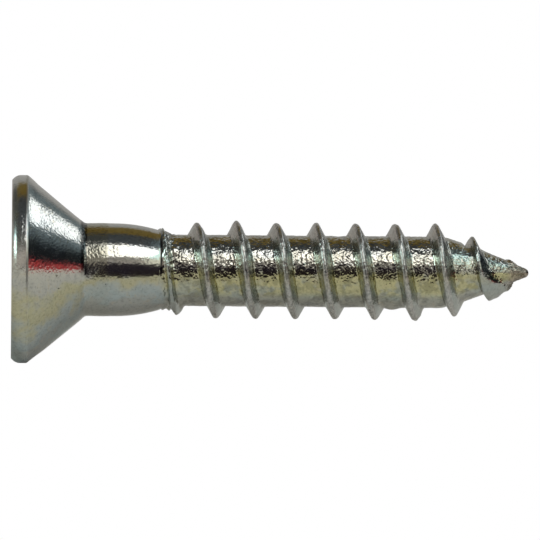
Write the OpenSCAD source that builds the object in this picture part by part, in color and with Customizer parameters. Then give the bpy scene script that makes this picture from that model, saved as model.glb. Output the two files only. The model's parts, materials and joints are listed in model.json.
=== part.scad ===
// Countersunk wood screw with a cross recess, headed and thread-rolled from one piece of wire.
// The axis runs along +X, from the flat face of the head (the origin) to the gimlet point.
// Millimetres; the thread is single-start and right-handed.

/* [Overall] */
// Length over all, from the flat face of the head to the end of the point
screw_len = 25.4; // [18:0.2:45]

/* [Head] */
// Diameter over the rim of the head
head_d = 9.24; // [7.6:0.02:11.6]
// Included angle of the countersunk cone
head_angle = 80; // [78:1:92]
// Distance from the flat face to the widest line of the rim
rim_crown_h = 0.5; // [0.3:0.05:0.6]
// Radius of the crowned edge between the flat face and the rim
rim_crown_r = 0.64; // [0.55:0.01:1.2]
// Length of the straight band around the rim
rim_band_h = 0.1; // [0:0.02:0.3]
// Radius of the corner between the rim and the cone
rim_corner_r = 0.45; // [0.1:0.05:0.8]

/* [Drive recess] */
// Diameter across the tips of the four wings at the face
recess_d = 5; // [4:0.1:5.8]
// Depth of the recess at its centre
recess_depth = 2.9; // [2:0.05:3.5]
// Height of the conical bottom of the recess
recess_floor_h = 0.7; // [0.4:0.05:1]
// Width of a wing at the face
wing_w = 1.1; // [0.8:0.05:1.4]
// Width across the core between the wings at the face, corner faces to corner faces
recess_core_w = 2.1; // [1.6:0.05:2.6]
// Angle between a wing's outer edge and the axis
wing_edge_angle = 26.5; // [20:0.5:28]
// Draft angle of the wing's side walls
wing_draft_angle = 4; // [0:0.5:6]
// Draft angle of the core's corner faces
core_draft_angle = 10; // [5:0.5:14]
// Turn of the recess about the axis
recess_turn = 20; // [0:5:90]

/* [Shank] */
// Diameter of the plain shank
shank_d = 4.56; // [3.7:0.02:5.6]
// Radius of the fillet between the cone and the shank
neck_fillet_r = 0.6; // [0.2:0.05:1]
// Length of straight shank behind the neck fillet
shank_straight_len = 1.3; // [0.8:0.1:6]
// Length of the shoulder that runs down from the shank to the thread root
shoulder_len = 2.8; // [2:0.1:4]

/* [Thread] */
// Diameter over the thread crests
thread_d = 4.72; // [3.9:0.02:5.8]
// Diameter at the thread root
root_d = 3.5; // [2.8:0.02:4.3]
// Distance between neighbouring crests
pitch = 1.954; // [1.5:0.002:2.5]
// Included angle between the thread's flanks
flank_angle = 60; // [40:1:66]
// Width of the crest
crest_w = 0.2; // [0.1:0.01:0.3]
// How far the crest's edges are rounded down
crest_round = 0.05; // [0.02:0.01:0.1]
// Distance before the shoulder's end at which the thread starts
run_in_lead = 0.8; // [0.4:0.05:1.2]
// Length over which the thread rises to its full height
run_in_len = 2; // [1:0.1:4]
// Length over which the thread fades out before the end of the point
run_out_len = 0.9; // [0.4:0.1:2]
// Angle around the axis at which the thread starts
thread_start_angle = 80; // [0:10:350]

/* [Point] */
// Length of the tapered point
point_len = 4.3; // [3.4:0.1:6]
// Radius of the rounded end of the point
nib_r = 0.24; // [0.1:0.02:0.4]
// Outward swell of the point's sides, 1 for a straight cone
point_swell = 1.2; // [1:0.05:1.6]
// Outward swell of the crest line along the point, 1 for a straight cone
crest_line_swell = 1.45; // [1:0.05:1.8]

/* [Hidden] */
zinc = "#b9bdbb";
arc_step = 7.5;          // angle between points on an outline's arcs
turn_steps = 36;         // thread sections in one turn
columns = 7;             // points across one section, seam, feet and crest
seam_lead = 0.15;        // seam before the first crest, as a share of the pitch
seam_lag = 0.3;          // seam behind the last crest, as a share of the pitch
round_fn = 96;           // drawing fineness of the turned surfaces
shoulder_steps = 8;      // straight steps that make up the blank's stretch of the shoulder
cut_overlap = 0.5;       // how far a cutter stands out of the face it enters
join_lead = 0.1;         // distance from the end of the blank to the thread's first seam
join_overlap = 0.5;      // how far the threaded length reaches back into the blank
join_inset = 0.12;       // how far it lies under the blank's surface there
join_sink = 0.02;        // how far its edge stays inside the blank's end
tip_angles = [80, 50, 25];   // angles from the axis of the rings that round the end of the point

head_r = head_d / 2;
cone_half = head_angle / 2;
shank_r = shank_d / 2;
thread_r = thread_d / 2;
root_r = root_d / 2;
flank_tan = tan(flank_angle / 2);

// Rim: where the band ends and where its corner meets the cone
rim_band_end = rim_crown_h + rim_band_h;
cone_start_x = rim_band_end + rim_corner_r * sin(cone_half);
cone_start_r = head_r - rim_corner_r * (1 - cos(cone_half));
// Neck: the fillet's two tangent points
neck_x = cone_start_x + (cone_start_r - shank_r) / tan(cone_half);
neck_tangent = neck_fillet_r * tan(cone_half / 2);
shank_start_x = neck_x + neck_tangent;
shoulder_start_x = shank_start_x + shank_straight_len;
shoulder_end_x = shoulder_start_x + shoulder_len;
thread_start_x = shoulder_end_x - run_in_lead;
point_start_x = screw_len - point_len;
nib_start_x = screw_len - nib_r;
// The turned blank ends, and the threaded length takes over, a little before the thread starts
join_x = thread_start_x - pitch * seam_lead - join_lead;
thread_end_x = nib_start_x - pitch * seam_lag;
sections = floor((thread_end_x - thread_start_x) / pitch * turn_steps);

// Points on an arc of radius r about c, between two angles
function arc(c, r, from, to) =
    let (n = ceil(abs(to - from) / arc_step))
    [for (i = [0:n]) let (a = from + (to - from) * i / n) c + r * [cos(a), sin(a)]];

// Share of the way from one place to another, kept between 0 and 1
function share(x, from, to) = max(0, min(1, (x - from) / (to - from)));

// Radius of the screw's body under the thread
function body_r(x) =
    x <= point_start_x
        ? shank_r - (shank_r - root_r) * share(x, shoulder_start_x, shoulder_end_x) ^ 2
        : nib_r + (root_r - nib_r) * (1 - share(x, point_start_x, nib_start_x) ^ point_swell);

// Radius of the crest line: it rises out of the shoulder and closes in along the point
function run_in_r(x) =
    let (start_r = body_r(thread_start_x))
    start_r + (thread_r - start_r) * share(x, thread_start_x, thread_start_x + run_in_len);
function point_crest_r(x) =
    nib_r + (thread_r - nib_r) * (1 - share(x, point_start_x, nib_start_x) ^ crest_line_swell);
function ridge_h(x) =
    max(0, min(run_in_r(x), point_crest_r(x)) - body_r(x))
    * share(x, thread_end_x, thread_end_x - run_out_len);

// Outlines are lists of points: [distance along the axis, radius]
function on_body(x) = [x, body_r(x)];
blank_outline = concat(
    [[0, 0]],
    arc([rim_crown_h, head_r - rim_crown_r], rim_crown_r, 90 + asin(rim_crown_h / rim_crown_r), 90),
    arc([rim_band_end, head_r - rim_corner_r], rim_corner_r, 90, 90 - cone_half),
    arc([shank_start_x, shank_r + neck_fillet_r], neck_fillet_r, 270 - cone_half, 270),
    [for (i = [0:shoulder_steps])
        on_body(shoulder_start_x + (join_x - shoulder_start_x) * i / shoulder_steps)],
    [[join_x, 0]]
);

// One section across the thread, from the seam behind the crest before it to the foot beyond its own crest
function seam_x(i) =
    thread_start_x + pitch * (i / turn_steps - seam_lead
        - (0.5 - seam_lead) * share(i, 0, turn_steps)
        - (0.5 - seam_lag) * share(i, sections - turn_steps, sections));
function on_crest(x, r) = [x, max(r, body_r(x))];
function thread_section(i) =
    let (x = thread_start_x + pitch * i / turn_steps)
    let (h = ridge_h(x))
    let (crest = body_r(x) + h)
    let (foot = crest_w / 2 + max(h - crest_round, crest_round) * flank_tan)
    [
        on_body(seam_x(i)),
        on_body(x - foot),
        on_crest(x - crest_w / 2, crest - crest_round),
        on_crest(x - crest_w / 4, crest),
        on_crest(x + crest_w / 4, crest),
        on_crest(x + crest_w / 2, crest - crest_round),
        on_body(x + foot)
    ];

// Turns an outline of [distance, radius] points about the X axis
module turned(outline) {
    rotate([0, 90, 0])
        rotate_extrude($fn = round_fn)
            polygon([for (p = outline) [p[1], p[0]]]);
}

// Puts a [distance, radius] point at its place on the thread's helix
function around(p, i) =
    let (a = thread_start_angle + 360 * i / turn_steps)
    [p[0], p[1] * cos(a), p[1] * sin(a)];

// A bar through the recess's centre whose side walls close in with depth
module drafted_bar(width, draft) {
    top_half = width / 2 + cut_overlap * tan(draft);
    bottom_half = width / 2 - recess_depth * tan(draft);
    rotate([90, 0, 0])
        linear_extrude(height = recess_d * 1.5, center = true)
            polygon([
                [-top_half, -cut_overlap],
                [-bottom_half, recess_depth],
                [bottom_half, recess_depth],
                [top_half, -cut_overlap]
            ]);
}

// Cross recess, cut from the face down: four wings and a four-sided core inside a pointed cone
module recess() {
    edge_tan = tan(wing_edge_angle);
    wing_depth = recess_depth - recess_floor_h;
    rotate([recess_turn, 0, 0])
        rotate([0, 90, 0])
            intersection() {
                rotate_extrude($fn = round_fn)
                    polygon([
                        [0, -cut_overlap],
                        [recess_d / 2 + cut_overlap * edge_tan, -cut_overlap],
                        [recess_d / 2 - wing_depth * edge_tan, wing_depth],
                        [0, recess_depth]
                    ]);
                union() {
                    for (turn = [0, 90])
                        rotate([0, 0, turn])
                            drafted_bar(wing_w, wing_draft_angle);
                    intersection_for (turn = [45, 135])
                        rotate([0, 0, turn])
                            drafted_bar(recess_core_w, core_draft_angle);
                }
            }
}

// Head, shank and the first part of the shoulder
module blank() {
    difference() {
        turned(blank_outline);
        recess();
    }
}

// The rest of the shoulder, the thread and the point, as one skin wound along the thread's helix
module threaded_length() {
    last = sections * columns;
    extra = last + columns;
    rings = extra + turn_steps;
    end_rings = [
        [join_x - join_overlap, body_r(join_x) - join_inset],
        [join_x - join_sink, body_r(join_x) - join_sink / 2],
        for (a = tip_angles) [nib_start_x + nib_r * cos(a), nib_r * sin(a)]
    ];
    points = concat(
        [for (i = [0:sections], p = thread_section(i)) around(p, i)],
        [for (i = [sections + 1:sections + turn_steps]) around(on_body(seam_x(i)), i)],
        [for (p = end_rings, k = [0:turn_steps - 1]) around(p, k)],
        [[screw_len, 0, 0]]
    );
    tip = len(points) - 1;

    // Index of a point on the seam, on a section's columns past it, and on an end ring
    function seam(i) = i <= sections ? i * columns : extra + i - sections - 1;
    function at(i, c) = c < columns ? seam(i) + c : seam(i + turn_steps);
    function ring(n, k) = rings + n * turn_steps + k % turn_steps;

    skin = [for (i = [0:sections - 1], c = [0:columns - 1])
        [at(i, c), at(i, c + 1), at(i + 1, c + 1), at(i + 1, c)]];
    run_in = [for (k = [0:turn_steps - 2]) [ring(1, k), seam(k), seam(k + 1), ring(1, k + 1)]];
    run_in_step = concat(
        [[ring(1, turn_steps - 1), seam(turn_steps - 1), ring(1, 0)],
         [ring(1, 0), seam(turn_steps - 1), seam(0)]],
        [for (c = [0:columns - 1]) [at(0, c), seam(turn_steps - 1), at(0, c + 1)]]
    );
    run_out_step = concat(
        [[ring(2, sections + 1), seam(sections + 1), ring(2, sections)],
         [ring(2, sections), seam(sections + 1), at(sections, columns)]],
        [for (c = [0:columns - 1]) [at(sections, c + 1), seam(sections + 1), at(sections, c)]]
    );
    run_out = [for (k = [1:turn_steps - 1])
        [seam(sections + k), ring(2, sections + k), ring(2, sections + k + 1), seam(sections + k + 1)]];
    bands = [for (n = [0, 2, 3], k = [0:turn_steps - 1])
        [ring(n, k), ring(n + 1, k), ring(n + 1, k + 1), ring(n, k + 1)]];
    nib = [for (k = [0:turn_steps - 1]) [ring(4, k), tip, ring(4, k + 1)]];
    foot = [[for (k = [0:turn_steps - 1]) ring(0, k)]];
    polyhedron(
        points = points,
        faces = concat(skin, run_in, run_in_step, run_out_step, run_out, bands, nib, foot),
        convexity = 12
    );
}

module screw() {
    color(zinc)
        union() {
            blank();
            threaded_length();
        }
}

screw();
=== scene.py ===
import json
import math
import bpy
import numpy as np
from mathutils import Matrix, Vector, noise


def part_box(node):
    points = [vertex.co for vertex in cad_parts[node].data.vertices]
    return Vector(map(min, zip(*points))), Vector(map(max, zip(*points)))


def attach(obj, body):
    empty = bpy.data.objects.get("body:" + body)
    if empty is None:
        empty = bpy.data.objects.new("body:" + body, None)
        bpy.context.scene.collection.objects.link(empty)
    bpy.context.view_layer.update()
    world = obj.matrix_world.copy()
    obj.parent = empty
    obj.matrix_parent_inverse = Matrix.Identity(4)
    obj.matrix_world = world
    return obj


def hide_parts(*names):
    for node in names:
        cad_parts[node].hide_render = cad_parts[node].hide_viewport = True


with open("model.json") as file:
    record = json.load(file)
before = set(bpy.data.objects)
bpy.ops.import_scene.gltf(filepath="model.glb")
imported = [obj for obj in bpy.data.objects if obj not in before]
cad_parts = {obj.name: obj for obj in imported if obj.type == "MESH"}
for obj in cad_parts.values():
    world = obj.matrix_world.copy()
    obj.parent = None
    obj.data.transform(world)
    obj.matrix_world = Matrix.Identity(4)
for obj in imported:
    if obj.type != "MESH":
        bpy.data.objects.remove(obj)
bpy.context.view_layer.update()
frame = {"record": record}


# ---------------------------------------------------------------- the screw
# One piece of low-carbon steel wire. Its head and cross recess are pressed cold, the thread and the
# gimlet point are rolled between dies, and the whole is barrel-plated with zinc and passivated.
# Sizes are in millimetres; the length, the head and the shank come from the frame.
MM = 0.001
low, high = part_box("screw")
length = (high.x - low.x) / MM
head_r = (high.z - low.z) / 2 / MM
shank = next(m for m in frame["record"]["mounts"] if m["name"] == "shank")
shank_r = shank["dims"]["r_mm"]

# the head: its rim is crowned, and turns into the cone at a small corner
rim_crown_h, rim_drop, rim_power = 0.5, 0.24, 2.6
rim_corner, rim_end = 0.05, 0.95
cone_start, cone_start_r = 0.91, 4.505
cone_half = math.radians(39.4)
cone_sag = 0.045
neck_r = 0.3

# the shank swells a little where the dies let go of it
swell, swell_x, swell_len = 0.012, 4.42, 0.36
shank_len = shank["dims"]["length_mm"]
shank_start = shank["pos_m"][0] / MM - shank_len / 2
shoulder_len = 2.8

# the cross recess: four wings round a square core, over a pointed floor
recess_d, recess_depth, recess_floor_h = 5.0, 2.9, 0.7
wing_w, core_w, wing_edge = 1.1, 2.1, math.radians(26.5)
wing_draft, core_draft = math.radians(4), math.radians(10)
recess_turn, recess_lip_r, recess_corner = math.radians(20), 0.1, 0.14
wall_rings, lip_rings, bore_lip_rings = 31, 5, 3
bore_rings = wall_rings + bore_lip_rings

# the thread, the burr pushed up ahead of it, and the rough end of the point
thread_r, root_r, pitch = 2.36, 1.75, 1.954
flank_half, crest_tip_r, root_fillet = math.radians(28), 0.13, 0.10
thread_lead, run_in_len, run_out_len = 0.8, 2.0, 0.9
thread_start_turn = 80 / 360
point_len, nib_r, point_swell, crest_swell = 4.3, 0.24, 1.2, 1.3
late_start, drawn_in, steeper_lead = 0.25, 0.26, math.radians(34)
groove_x, burr_x, torn_x, torn_end = 7.35, 7.43, 7.36, 8.4
raw_start, raw_end = 24.2, 24.7

COLUMNS = 220
MASKS = ("head", "crest", "flank", "root", "bare", "bore")
turns = np.arange(COLUMNS) / COLUMNS
angles = turns * 2 * math.pi

shoulder_start = shank_start + shank_len
shoulder_end = shoulder_start + shoulder_len
thread_start = shoulder_end - thread_lead
point_start, nib_start = length - point_len, length - nib_r


def share(x, start, end):
    """Share of the way from one place to another, kept between 0 and 1."""
    return np.clip((x - start) / (end - start), 0, 1)


def eased(x, start, end):
    """The same, easing in and out."""
    s = share(x, start, end)
    return s * s * (3 - 2 * s)


def softer_max(a, b, blend):
    """The larger of two values, with a fillet of that size where they cross."""
    h = np.clip(0.5 + 0.5 * (a - b) / blend, 0, 1)
    return b + (a - b) * h + blend * h * (1 - h)


def grain(x, r, turn_angle, size, octaves, seed, along=1.0):
    """Fractal noise on the metal, about -1 to 1, with lumps of that size.
    Along stretches the lumps round the axis."""
    place = np.stack([x / size,
                      r * np.cos(turn_angle) / size / along,
                      r * np.sin(turn_angle) / size / along], axis=-1)
    place[..., 0] += seed * 17.3
    flat = place.reshape(-1, 3)
    found = np.array([noise.fractal(Vector(p), 0.8, 2.0, octaves) for p in flat])
    return found.reshape(place.shape[:-1])


def core_r(x):
    """Radius under the thread: shank, shoulder, root and point."""
    shoulder = shank_r - (shank_r - root_r) * share(x, shoulder_start, shoulder_end) ** 2
    point = nib_r + (root_r - nib_r) * (1 - share(x, point_start, nib_start) ** point_swell)
    return np.where(x <= point_start, shoulder, point)


def crest_r(x):
    """Radius of the crest line: it rises out of the shoulder and closes in along the point."""
    start_r = core_r(np.float64(thread_start))
    rising = start_r + (thread_r - start_r) * share(x, thread_start, thread_start + run_in_len)
    closing = nib_r + (thread_r - nib_r) * (1 - share(x, point_start, nib_start) ** crest_swell)
    return np.minimum(rising, closing)


def off_helix(x):
    """How far the crest runs off a true helix: a late start, and turns drawn together at the point."""
    late = late_start * (1 - share(x, thread_start, thread_start + 1.1))
    return late - drawn_in * eased(x, 21.2, 23.9)


def thread_crest(x, turn):
    """Distance past the nearest crest, and where along the screw that crest is."""
    phase = (x - off_helix(x) - thread_start) / pitch - (turn - thread_start_turn)
    past = (phase - np.round(phase)) * pitch
    return past, x - past


def crest_drop(past, at):
    """How far the ridge has fallen at a distance from its crest: a round tip, then straight flanks."""
    lead_half = flank_half + steeper_lead * eased(at, 22.6, 23.5)
    half = np.where(past > 0, lead_half, flank_half)
    u = np.abs(past)
    round_end = crest_tip_r * np.cos(half)
    cap = crest_tip_r - np.sqrt(np.maximum(crest_tip_r ** 2 - np.minimum(u, round_end) ** 2, 0))
    return cap + np.maximum(u - round_end, 0) / np.tan(half)


# Lumps and dents left by the dies and by the barrel:
# place along the screw, turn round it, height, half-length, half-width round the axis
LUMPS = [
    (11.03, 0.25, 0.10, 0.22, 0.10), (18.70, 0.75, 0.11, 0.36, 0.035),
    (20.00, 0.75, 0.06, 0.14, 0.05), (24.55, 0.27, 0.06, 0.20, 0.14),
    (23.50, 0.75, 0.08, 0.25, 0.08), (23.90, 0.75, 0.11, 0.22, 0.12), (24.40, 0.75, 0.05, 0.15, 0.12),
    (22.35, 0.25, -0.13, 0.16, 0.07), (22.98, 0.25, 0.05, 0.16, 0.07), (21.52, 0.75, -0.15, 0.11, 0.06),
    (8.40, 0.75, 0.10, 0.08, 0.08), (7.76, 0.75, 0.19, 0.11, 0.09), (9.42, 0.25, 0.11, 0.10, 0.06),
    (11.30, 0.25, 0.07, 0.12, 0.06), (20.12, 0.75, 0.14, 0.07, 0.03), (7.60, 0.25, 0.07, 0.12, 0.10),
    (1.30, 0.752, -0.05, 0.14, 0.012), (16.02, 0.24, -0.05, 0.20, 0.03),
    (9.10, 0.20, -0.06, 0.18, 0.03), (14.95, 0.30, 0.05, 0.20, 0.05),
    (23.36, 0.66, -0.09, 0.10, 0.05), (12.05, 0.70, -0.05, 0.20, 0.03),
    (20.80, 0.22, 0.05, 0.22, 0.06), (13.97, 0.80, -0.04, 0.20, 0.04),
]


def lumps(x, turn):
    """The height of all the lumps and dents together."""
    total = np.zeros(np.broadcast(x, turn).shape)
    for at, around, height, half_len, half_width in LUMPS:
        gap = np.abs(turn - around)
        gap = np.minimum(gap, 1 - gap)
        total += height * np.exp(-((x - at) / half_len) ** 2 - (gap / half_width) ** 2)
    return total


def recess_wall(depth):
    """Radius of the recess in every direction at one depth: wings and core, inside a pointed cone."""
    way = angles - recess_turn
    wing_half = wing_w / 2 - depth * math.tan(wing_draft)
    core_half = core_w / 2 - depth * math.tan(core_draft)
    wings = wing_half / np.maximum(np.minimum(np.abs(np.sin(way)), np.abs(np.cos(way))), 1e-3)
    corner = way - math.pi / 4
    core = core_half / np.maximum(np.abs(np.sin(corner)), np.abs(np.cos(corner)))
    wing_depth = recess_depth - recess_floor_h
    envelope = recess_d / 2 - depth * math.tan(wing_edge)
    if depth > wing_depth:
        floor_r = recess_d / 2 - wing_depth * math.tan(wing_edge)
        envelope = floor_r * (recess_depth - depth) / recess_floor_h
    star = softer_max(np.minimum(wings, 9.0), core, recess_corner)
    return -softer_max(-star, np.full(COLUMNS, -envelope), min(recess_corner, envelope * 0.5 + 1e-6))


def rim_r(x):
    """Radius of the crowned rim where it turns into the cone."""
    crown = head_r - rim_drop * np.clip(1 - x / rim_crown_h, 0, 1) ** rim_power
    cone = cone_start_r - (x - cone_start) * math.tan(cone_half)
    return -softer_max(-crown, -cone, rim_corner)


def head_rings():
    """Rings of distance and radius from the middle of the recess out to the start of the cone."""
    wing_depth = recess_depth - recess_floor_h
    floor_rings = 8
    depths = np.concatenate([np.linspace(recess_depth - 0.04, wing_depth, floor_rings),
                             np.linspace(wing_depth, recess_lip_r, wall_rings - floor_rings + 1)[1:]])
    rings = [(np.full(COLUMNS, depth), recess_wall(depth)) for depth in depths]
    lip = recess_wall(recess_lip_r)
    for a in np.linspace(0, math.pi / 2, lip_rings + 1)[1:]:
        depth = recess_lip_r * (1 - math.sin(a))
        rings.append((np.full(COLUMNS, depth), lip + recess_lip_r * (1 - math.cos(a))))
    lip = lip + recess_lip_r
    face_r = float(rim_r(np.float64(0)))
    for s in np.linspace(0, 1, 12)[1:]:
        r = lip + (face_r - lip) * s
        dish = 0.035 * np.exp(-((r - lip) / 0.35)) + 0.012 * (1 + np.sin(r * 9))
        rings.append((dish * 4 * s * (1 - s), r))
    corner_x = cone_start + (cone_start_r - head_r) / math.tan(cone_half)
    crown = np.linspace(0, 1, 16)[1:] ** 1.3 * (corner_x - 0.07)
    for x in [*crown, *np.linspace(corner_x - 0.06, rim_end, 12)]:
        rings.append((np.full(COLUMNS, x), np.full(COLUMNS, rim_r(x))))
    return rings


def cone_rings():
    """Rings down the cone and round the neck to the shank."""
    neck_x = cone_start + (cone_start_r - shank_r) / math.tan(cone_half)
    half_neck = neck_r * math.tan(cone_half / 2)
    rings = []
    for x in np.linspace(rim_end, neck_x - half_neck, 16)[1:]:
        rings.append((x, cone_start_r - (x - cone_start) * math.tan(cone_half)))
    fillet_x = neck_x + half_neck
    for x in np.linspace(neck_x - half_neck, fillet_x, 10)[1:]:
        rings.append((x, shank_r + neck_r - math.sqrt(neck_r ** 2 - (fillet_x - x) ** 2)))
    return rings


def screw_surface():
    """Rings of distance and radius over the whole screw, with the masks that the finish reads."""
    head, cone = head_rings(), cone_rings()
    stem = np.concatenate([np.linspace(cone[-1][0], 7.0, 30)[1:], np.linspace(7.0, nib_start, 318)[1:]])
    nib_angles = np.radians([78, 62, 46, 30, 15])
    nib = [(nib_start + nib_r * math.cos(a), nib_r * math.sin(a)) for a in nib_angles]
    plain = cone + [(place, 0) for place in stem] + nib
    x = np.array([ring[0] for ring in head] + [np.full(COLUMNS, place) for place, _ in plain])
    r = np.array([ring[1] for ring in head] + [np.full(COLUMNS, radius) for _, radius in plain])
    turn = np.broadcast_to(turns, x.shape)
    angle = turn * 2 * math.pi
    coned = slice(len(head), len(head) + len(cone))
    stemmed = slice(coned.stop, coned.stop + len(stem))

    # the cone is a little uneven, and sits a hair low against the rim
    cx, ca = x[coned], angle[coned]
    sag = cone_sag * eased(cx, rim_end, rim_end + 0.4) * (1 - eased(cx, 3.2, 3.8))
    uneven = 0.004 * grain(cx, r[coned], ca, 0.5, 3, 17)
    r[coned] += uneven - sag * np.sin(ca) + lumps(cx, turn[coned])

    # the thread's crest wanders and varies in height, and stands on the tapering core
    tx, tt, ta = x[stemmed], turn[stemmed], angle[stemmed]
    wander = grain(tx, thread_r, ta, 1.6, 2, 3)
    past, at = thread_crest(tx + 0.03 * wander * eased(tx, 8.5, 9.5), tt)
    base = core_r(tx) + swell * np.exp(-((tx - swell_x) / swell_len) ** 2)
    crest_line = crest_r(at) * (1 + 0.010 * grain(tx, thread_r, ta, 0.9, 2, 5))
    crest_line = base + (crest_line - base) * share(at, nib_start - 0.35, nib_start - 0.35 - run_out_len)
    inside = (at > thread_start) & (at < nib_start - 0.3)
    ridge = np.where(inside, crest_line - crest_drop(past, at), 0)

    # the root is folded along the rolling direction, and the crests are nicked
    rolled = eased(tx, groove_x, 7.8)
    fold = grain(tx, base, ta, 0.14, 3, 7, along=2.2)
    lines = grain(tx, base, ta, 0.5, 2, 11, along=0.6)
    tr = softer_max(ridge, base + rolled * (0.009 * fold + 0.012 * lines), root_fillet)
    tip = eased(tr - base, 0.30, 0.55)
    tr += 0.013 * tip * grain(tx, tr, ta, 0.13, 3, 19)

    # a burr and a groove stand where the dies start, torn for a turn, and the end of the point is raw
    tr += 0.06 * np.exp(-((tx - burr_x - 0.02 * lines) / 0.06) ** 2) * (0.8 + 0.4 * fold)
    tr += lumps(tx, tt)
    torn = eased(tx, torn_x, 7.45) * (1 - eased(tx, 7.9, torn_end))
    tr -= 0.03 * np.exp(-((tx - groove_x) / 0.045) ** 2)
    tr += torn * 0.05 * grain(tx, tr, ta, 0.22, 3, 23)
    raw = eased(tx, raw_start, raw_end)
    tr += raw * 0.03 * grain(tx, tr, ta, 0.17, 3, 13)
    r[stemmed] = tr

    masks = {name: np.zeros(x.shape) for name in MASKS}
    outer_head = slice(bore_rings, stemmed.start)
    masks["head"][outer_head] = 1 - eased(x[outer_head], 3.3, 3.7)
    masks["crest"][stemmed] = eased(tr - base, 0.34, 0.58)
    masks["flank"][stemmed] = eased(tr - base, 0.06, 0.25)
    masks["root"][stemmed] = rolled * (1 - eased(tr - base, 0.05, 0.2))
    masks["bare"][stemmed] = raw
    masks["bare"][stemmed.stop:] = 1
    masks["bore"][:bore_rings] = 1
    return x, r, angle, masks


def plated_screw():
    """The whole skin as one closed mesh."""
    x, r, angle, masks = screw_surface()
    rings = len(x)
    ring_points = np.stack([x, r * np.cos(angle), r * np.sin(angle)], axis=-1).reshape(-1, 3)
    ends = np.array([[recess_depth, 0, 0], [length, 0, 0]])
    points = np.concatenate([ring_points, ends]) * MM
    here = np.arange(COLUMNS)
    after = (here + 1) % COLUMNS
    quads = []
    for ring in range(rings - 1):
        a, b = ring * COLUMNS, (ring + 1) * COLUMNS
        quads.append(np.stack([a + here, b + here, b + after, a + after], axis=-1))
    quads = np.concatenate(quads).tolist()
    middle, tip = rings * COLUMNS, rings * COLUMNS + 1
    last = (rings - 1) * COLUMNS
    fans = [[middle, int(i), int(j)] for i, j in zip(here, after)]
    fans += [[tip, int(last + j), int(last + i)] for i, j in zip(here, after)]
    mesh = bpy.data.meshes.new("wood_screw")
    mesh.from_pydata(points.tolist(), [], quads + fans)
    mesh.shade_smooth()
    for name, values in masks.items():
        layer = mesh.attributes.new(name, "FLOAT", "POINT")
        edge = [values[0].mean(), values[-1].mean()]
        layer.data.foreach_set("value", np.concatenate([values.ravel(), edge]).astype(np.float32))
    piece = bpy.data.objects.new("wood_screw", mesh)
    bpy.context.scene.collection.objects.link(piece)
    return piece


class Wire:
    """An output of a shader node. Sums and products of wires are written as Python expressions."""

    def __init__(self, tree, socket=None):
        self.tree = tree
        self.socket = socket

    def node(self, kind, settings=None, sockets=None, output=0):
        """Adds a node: its settings first, then the values or links of its sockets."""
        made = self.tree.nodes.new(kind)
        for name, value in (settings or {}).items():
            if name == "stops":
                while len(made.color_ramp.elements) < len(value):
                    made.color_ramp.elements.new(0.5)
                for element, (place, colour) in zip(made.color_ramp.elements, value):
                    element.position = place
                    element.color = (*colour, 1)
            else:
                setattr(made, name, value)
        for key, value in (sockets or {}).items():
            if isinstance(value, Wire):
                self.tree.links.new(value.socket, made.inputs[key])
            elif made.inputs[key].type == "RGBA" and len(value) == 3:
                made.inputs[key].default_value = (*value, 1)
            else:
                made.inputs[key].default_value = value
        return Wire(self.tree, made.outputs[output] if len(made.outputs) else None)

    def maths(self, operation, *values):
        """One Math node. The operators below are written with it."""
        return self.node("ShaderNodeMath", {"operation": operation}, dict(enumerate(values)))

    def __add__(self, other):
        return self.maths("ADD", self, other)

    def __sub__(self, other):
        return self.maths("SUBTRACT", self, other)

    def __rsub__(self, other):
        return self.maths("SUBTRACT", other, self)

    def __mul__(self, other):
        return self.maths("MULTIPLY", self, other)

    __radd__ = __add__
    __rmul__ = __mul__

    def between(self, low_end, high_end):
        """0 below the low end, 1 above the high end, and smooth between them."""
        return self.node("ShaderNodeMapRange", {"interpolation_type": "SMOOTHSTEP"},
                         {"Value": self, "From Min": low_end, "From Max": high_end})

    def mixed(self, first, second):
        """Goes from the first colour to the second with this wire as the factor."""
        return self.node("ShaderNodeMix", {"data_type": "RGBA"}, {0: self, 6: first, 7: second}, 2)


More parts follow.
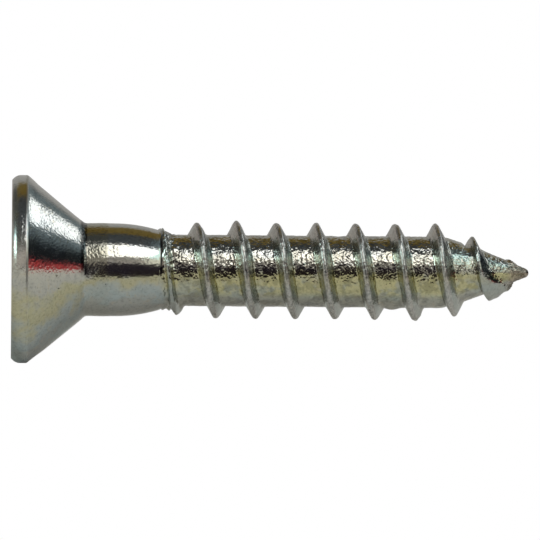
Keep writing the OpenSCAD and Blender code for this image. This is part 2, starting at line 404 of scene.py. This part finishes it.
def zinc_plate():
    """Bright zinc over rolled steel, with patchy passivation tints, and pale yellow and blue bands on
    the lower side that are painted reflection.
    """
    material = bpy.data.materials.new("zinc_plate")
    material.use_nodes = True
    tree = material.node_tree
    tree.nodes.clear()
    wires = Wire(tree)
    relief_h = 0.02 * MM
    pit_spacing = 0.9
    place = wires.node("ShaderNodeTexCoord", output="Object")

    def vector(operation, *values):
        return wires.node("ShaderNodeVectorMath", {"operation": operation}, dict(enumerate(values)))

    def cloud(size, detail, roughness, shift, where=place):
        return wires.node("ShaderNodeTexNoise", {"noise_type": "FBM"},
                          {"Vector": vector("ADD", where, (shift * MM, shift * MM, shift * MM)),
                           "Scale": 1 / (size * MM), "Detail": detail, "Roughness": roughness})

    def mask(name):
        return wires.node("ShaderNodeAttribute", {"attribute_name": name}, output="Fac")

    head, crest, flank, root, bare, bore = (mask(name) for name in MASKS)
    reach = wires.node("ShaderNodeSeparateXYZ", None, {0: place}, "X") * (1 / MM)

    # bands along the screw: the shank's start where the dies held it, dulled and given painted shade,
    # the corner at the neck, the groove behind the burr, and the corner of the rim that tumbling rubs
    # dull
    gripped_and_shaded = reach.between(3.55, 3.7) * (1 - reach.between(4.64, 4.84))
    corner = reach.between(3.34, 3.46) * (1 - reach.between(3.66, 3.74))
    groove = reach.between(7.28, 7.33) * (1 - reach.between(7.39, 7.44))
    rubbed = reach.between(0.68, 0.73) * (1 - reach.between(0.80, 0.85))

    # the passivation tint wanders in patches, and the colour also follows which way the surface faces
    # round the axis: painted reflection, a little lighter on the upper side, with blue and yellow bands
    # below
    outward = vector("NORMALIZE", vector("MULTIPLY", place, (0, 1, 1)))
    height = wires.node("ShaderNodeSeparateXYZ", None, {0: outward}, "Z")
    tint = cloud(1.5, 3.0, 0.55, 7.0)
    patches = cloud(0.4, 3.0, 0.6, 3.0)
    tint_and_reflection = 0.5 + 0.5 * height + 0.13 * head + 0.45 * (tint - 0.5) + 0.12 * (patches - 0.5)
    colour = wires.node("ShaderNodeValToRGB", {"stops": [
        (0.00, (0.55, 0.55, 0.53)), (0.14, (0.50, 0.51, 0.49)), (0.20, (0.50, 0.56, 0.57)),
        (0.28, (0.54, 0.58, 0.57)), (0.38, (0.62, 0.585, 0.40)), (0.44, (0.64, 0.61, 0.42)),
        (0.52, (0.62, 0.61, 0.57)), (0.68, (0.68, 0.66, 0.59)), (0.80, (0.62, 0.64, 0.64)),
        (1.00, (0.62, 0.62, 0.60))]}, {"Fac": tint_and_reflection})

    # the roots are a little yellow, and yellower on the lower side as painted reflection of the table;
    # the yellow fades in places;
    # the flanks are dull, and the crests, the raw end and the bore have colours of their own
    table_reflection_yellow = (0 - height).between(-0.1, 0.15) * (1 - (0 - height).between(0.55, 0.8))
    faded = cloud(0.8, 2.0, 0.5, 31.0).between(0.50, 0.60)
    colour = (root * (0.12 + 0.75 * table_reflection_yellow) * (1 - 0.6 * faded)).mixed(colour, (0.71, 0.655, 0.36))
    specks = cloud(0.13, 2.0, 0.6, 13.0)
    blotch = cloud(0.35, 3.0, 0.65, 21.0)
    colour = (blotch.between(0.56, 0.70) * 0.35).mixed(colour, (0.60, 0.50, 0.33))
    colour = (flank * (1 - crest) * 0.7).mixed(colour, (0.47, 0.50, 0.47))
    worn = specks.between(0.35, 0.65)
    colour = (crest * 0.75).mixed(colour, worn.mixed((0.47, 0.45, 0.43), (0.66, 0.63, 0.60)))
    # painted shade: the band where the dies held the shank is darkened, most on its upper side
    colour = (gripped_and_shaded * (0.15 + 0.45 * height.between(-0.1, 0.1))).mixed(colour, (0.44, 0.42, 0.31))
    colour = (bare * 0.85).mixed(colour, worn.mixed((0.26, 0.21, 0.17), (0.50, 0.42, 0.34)))
    colour = (bore * 0.4).mixed(colour, (0.42, 0.42, 0.40))

    # dark specks all over, patchy painted shade in the roots of the thread, and painted shade in the
    # corner at the neck and in the groove, kept off the lower side
    shade = specks.between(0.30, 0.50) * 0.22 + blotch.between(0.30, 0.60) * 0.12 + 0.72
    # painted shade: the roots of the thread are darkened in patches
    shade = shade * (1 - 0.28 * root * (1 - patches.between(0.42, 0.56)))
    colour = wires.node("ShaderNodeVectorMath", {"operation": "SCALE"}, {0: colour, "Scale": shade})
    # painted shade in the groove and the neck corner, broken up by the specks and kept off the lower
    # side
    groove = groove * (1 - height.between(0.7, 0.9)) * specks.between(0.2, 0.45)
    neck_groove_shade = (corner * specks.between(0.28, 0.50) + groove) * height.between(-0.2, 0.05) * 0.9
    colour = neck_groove_shade.mixed(colour, (0.045, 0.045, 0.045))

    roughness = 0.11 + 0.05 * patches.between(0.35, 0.65) + 0.07 * flank + 0.09 * crest
    roughness = roughness + 0.06 * gripped_and_shaded + 0.16 * bare + 0.10 * bore
    roughness = roughness + 0.10 * (1 - reach.between(0.3, 0.5))
    roughness = roughness + 0.22 * rubbed

    # folds lie along the rolling direction in the root; elsewhere the plate is finely mottled
    along = vector("ADD", vector("MULTIPLY", place, (1, 0, 0)), vector("MULTIPLY", outward, (0, MM, MM)))
    folds = cloud(0.16, 1.0, 0.5, 5.0, along)
    mottle = cloud(0.12, 0.8, 0.5, 1.0)
    nicks = cloud(0.15, 1.0, 0.5, 9.0)
    pits = wires.node("ShaderNodeTexVoronoi", None,
                      {"Vector": place, "Scale": 1 / (pit_spacing * MM)}, "Distance")
    relief = root * (1.5 * folds + 1.1 * mottle) + (0.34 + 0.35 * gripped_and_shaded) * mottle
    relief = relief + (0.9 * flank + 0.9 * crest + 2.0 * bare) * nicks + 0.9 * pits.between(0.02, 0.09)
    bump = wires.node("ShaderNodeBump", None, {"Strength": 1.0, "Distance": relief_h, "Height": relief})
    shader = wires.node("ShaderNodeBsdfPrincipled", None,
                        {"Base Color": colour, "Metallic": 1.0, "Roughness": roughness, "Normal": bump})
    wires.node("ShaderNodeOutputMaterial", None, {"Surface": shader})
    return material


screw = plated_screw()
screw.data.materials.append(zinc_plate())
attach(screw, "root")
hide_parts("screw")


# ---------------------------------------------------------------- the table
# A plain board, painted pale and matt, for the screw to be shown on.
# It lies level under the screw, and the rim of the head rests on it.
foot_z = min(v.co.z for v in screw.data.vertices)
table_half = 0.4
board_colour, board_roughness = (0.80, 0.80, 0.77, 1), 0.8
# the board's faint glow is painted fill light
fill_glow_colour, fill_glow_strength = (1.0, 0.99, 0.95, 1), 0.07
board = bpy.data.meshes.new("table")
board.from_pydata([(-table_half, -table_half, foot_z), (table_half, -table_half, foot_z),
                   (table_half, table_half, foot_z), (-table_half, table_half, foot_z)],
                  [], [(0, 1, 2, 3)])
table = bpy.data.objects.new("table", board)
bpy.context.scene.collection.objects.link(table)
paint = bpy.data.materials.new("pale_board")
paint.use_nodes = True
coat = paint.node_tree.nodes["Principled BSDF"].inputs
coat["Base Color"].default_value = board_colour
coat["Roughness"].default_value = board_roughness
# the board glows faintly: a painted fill light that lifts the shadow under the screw and its reflection
# in the metal
coat["Emission Color"].default_value = fill_glow_colour
coat["Emission Strength"].default_value = fill_glow_strength
board.materials.append(paint)


# ---------------------------------------------------------------- the studio light
# Three soft panels over the screw, which only the metal mirrors, and a ceiling that only lights the
# table. A dark lens shade stands low in front and a red card far off to the right, in a room that is
# dark on the side of the lens and pale behind.
panel_left, panel_h = 4.65 * MM, 60 * MM
ceiling_h = 0.35
shade_left, shade_right = 1.8 * MM, 23.4 * MM
shade_y, shade_low, shade_high = -15 * MM, -4.8 * MM, 4.3 * MM
red_x, red_near, red_far, red_low, red_high = 200 * MM, -50 * MM, -26 * MM, -2 * MM, 23 * MM


def glowing(name, points, colour, strength, mirrored=True, lighting=False):
    """A flat shape that glows: mirrored in the metal, lighting the table, or both."""
    mesh = bpy.data.meshes.new(name)
    mesh.from_pydata(points, [], [tuple(range(len(points)))])
    sheet = bpy.data.objects.new(name, mesh)
    bpy.context.scene.collection.objects.link(sheet)
    lit = bpy.data.materials.new(name)
    lit.use_nodes = True
    lit.node_tree.nodes.clear()
    wires = Wire(lit.node_tree)
    glow = wires.node("ShaderNodeEmission", None, {"Color": colour, "Strength": strength})
    wires.node("ShaderNodeOutputMaterial", None, {"Surface": glow})
    mesh.materials.append(lit)
    sheet.visible_camera = False
    sheet.visible_glossy = mirrored
    sheet.visible_diffuse = lighting
    sheet.visible_shadow = False


def overhead(height, corners):
    """Corners given right and back from the screw as shares of the height, turned to face down."""
    return [(panel_left + u * height, v * height, height) for u, v in reversed(corners)]


glowing("front_panel", overhead(panel_h, [(0, -1.55), (0.75, -1.55), (0.75, -0.47), (0, -0.47)]),
        (1.0, 0.995, 0.97), 2.05)
glowing("side_panel", overhead(panel_h, [(0.75, -1.5), (1.35, -1.5), (1.35, -0.25), (0.75, -0.25)]),
        (0.74, 1.0, 0.99), 1.25)
glowing("back_panel", overhead(panel_h, [(1.60, 0.24), (1.75, 0.70), (1.12, 1.00),
                                         (0.95, 0.95), (1.05, 0.45), (1.30, 0.24)]),
        (0.96, 1.0, 0.99), 1.9)
glowing("ceiling", overhead(ceiling_h, [(0, -1.66), (1.75, -1.66), (1.75, 0.2),
                                        (1.15, 0.80), (0, -0.40)]),
        (1.0, 0.995, 0.98), 1.38, mirrored=False, lighting=True)
glowing("lens_shade", [(shade_left, shade_y, shade_low), (shade_right, shade_y, shade_low),
                       (shade_right, shade_y, shade_high), (shade_left, shade_y, shade_high)],
        (0.02, 0.016, 0.022), 1.0)
glowing("red_card", [(red_x, red_near, red_low), (red_x, red_far, red_low),
                     (red_x, red_far, red_high), (red_x, red_near, red_high)],
        (0.52, 0.065, 0.07), 1.0)

world = bpy.data.worlds.new("room")
bpy.context.scene.world = world
world.use_nodes = True
world.node_tree.nodes.clear()
room = Wire(world.node_tree)
toward = room.node("ShaderNodeTexCoord", output="Generated")
side, depth_way, up = (room.node("ShaderNodeSeparateXYZ", None, {0: toward}, axis) for axis in "XYZ")

# what a level cylinder mirrors from front to top to back, as a share of a turn
climb = room.maths("ARCTAN2", up, depth_way * -1) * (1 / (2 * math.pi)) + 0.5
bands = room.node("ShaderNodeValToRGB", {"stops": [
    (0.50, (0.30, 0.29, 0.28)), (0.53, (0.46, 0.43, 0.40)), (0.56, (0.36, 0.34, 0.32)),
    (0.59, (0.12, 0.12, 0.11)), (0.65, (0.07, 0.07, 0.065)), (0.68, (0.06, 0.065, 0.07)),
    (0.775, (0.055, 0.06, 0.06)), (0.795, (0.15, 0.105, 0.026)), (0.86, (0.17, 0.125, 0.042)),
    (0.88, (0.36, 0.36, 0.34)), (1.0, (0.42, 0.41, 0.39))]}, {"Fac": climb})

# what the cone and the flanks of the thread mirror, off to the two sides
sideways = room.maths("ABSOLUTE", side).between(0.30, 0.50)
right = side.between(-0.1, 0.1)
low_tone = right.mixed((0.38, 0.35, 0.32), (0.010, 0.013, 0.016))
high_tone = right.mixed((0.08, 0.08, 0.07), (0.17, 0.21, 0.22))
side_tone = up.between(0.30, 0.56).mixed(low_tone, high_tone)
facing = (1 - depth_way.between(-0.20, -0.12)) * up.between(0.20, 0.28) * (1 - up.between(0.47, 0.55))
left_glow = facing * (1 - side.between(-0.76, -0.71))
right_glow = facing * right * (1 - up.between(0.45, 0.55)) * (1 - side.between(0.82, 0.88))
side_tone = left_glow.mixed(side_tone, (2.6, 3.5, 3.4))
side_tone = right_glow.mixed(side_tone, (0.85, 0.86, 0.74))
tone = sideways.mixed(bands, side_tone)

# behind the screw the room is white, and below the table it is as pale as the board
seen = room.node("ShaderNodeLightPath", output="Is Camera Ray")
backdrop = up.between(-0.02, -0.01).mixed((0.475, 0.48, 0.447), (1.0, 1.0, 1.0))
sky = room.node("ShaderNodeBackground", None, {"Color": seen.mixed(tone, backdrop)})
room.node("ShaderNodeOutputWorld", None, {"Surface": sky})


# ---------------------------------------------------------------- the camera
# A long lens level with the screw and square to its axis. It is rolled a little, so that the point
# hangs lower than the head.
view_width = 26.53 * MM
view_roll = math.radians(0.46)
eye_back, eye_lift = 0.2, 0.05 * MM
eye = bpy.data.cameras.new("camera")
eye.type = "ORTHO"
eye.ortho_scale = view_width
camera = bpy.data.objects.new("camera", eye)
bpy.context.scene.collection.objects.link(camera)
middle_x = (low.x + high.x) / 2
camera.location = (middle_x, -eye_back, eye_lift)
camera.rotation_euler = (math.radians(90), 0, 0)
camera.rotation_euler.rotate_axis("Z", view_roll)
eye.clip_start, eye.clip_end = 0.001, 10
bpy.context.scene.camera = camera
bpy.context.scene.view_settings.view_transform = "Standard"
